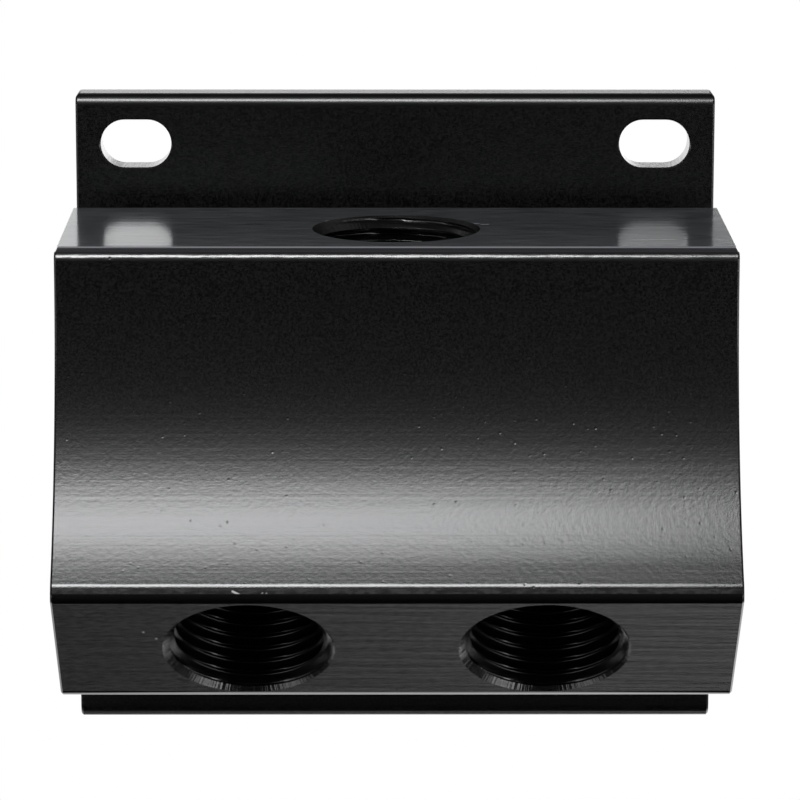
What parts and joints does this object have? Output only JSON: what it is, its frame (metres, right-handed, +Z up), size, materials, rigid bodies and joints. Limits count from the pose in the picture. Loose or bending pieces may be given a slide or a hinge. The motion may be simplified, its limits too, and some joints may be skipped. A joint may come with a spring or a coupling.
{
  "type": "compressed air wall manifold",
  "caption": "Extruded and machined wall manifold for compressed air: threaded inlet on top, threaded outlets in a slanted lower face, slotted wall flange, black anodised.",
  "frame": {"origin": "on the wall face, midway between the two wall slots", "axes": "+X along the extrusion to the right seen from the front, +Y into the wall, +Z up"},
  "size_m": [0.085, 0.0622, 0.0844],
  "materials": {
    "anodised_body": "satin black anodised"
  },
  "bodies": {
    "root": {"manifold_body": "anodised_body"}
  },
  "joints": []
}
